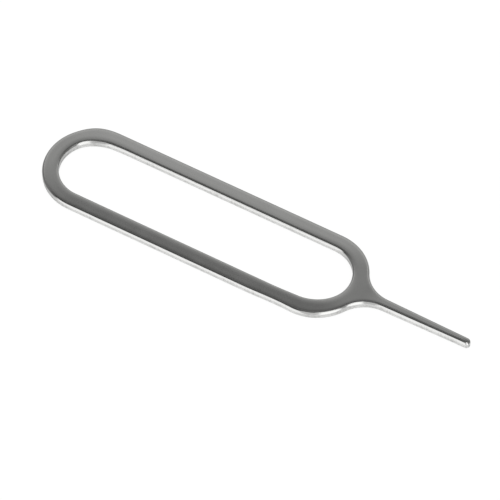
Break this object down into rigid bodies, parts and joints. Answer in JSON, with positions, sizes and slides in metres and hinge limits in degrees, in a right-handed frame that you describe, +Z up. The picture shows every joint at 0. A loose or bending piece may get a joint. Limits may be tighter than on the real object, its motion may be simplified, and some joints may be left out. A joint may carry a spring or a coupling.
{
  "type": "sim tray eject pin",
  "caption": "Flat eject pin of steel strip: a long rounded loop to hold, and a slim round-tipped pin that is pushed into the hole beside a phone's SIM tray.",
  "frame": {"origin": "middle of the whole pin's length and width, on the lower face that it lies on", "axes": "+X along the pin to its tip, +Y across the loop, +Z up through the strip's thickness"},
  "size_m": [0.0458, 0.01, 0.0009],
  "materials": {
    "steel": "stainless strip, tumbled to a fine satin, with burnished arrises and a greyer cut edge"
  },
  "bodies": {
    "root": {"eject_pin": "steel"}
  },
  "joints": []
}
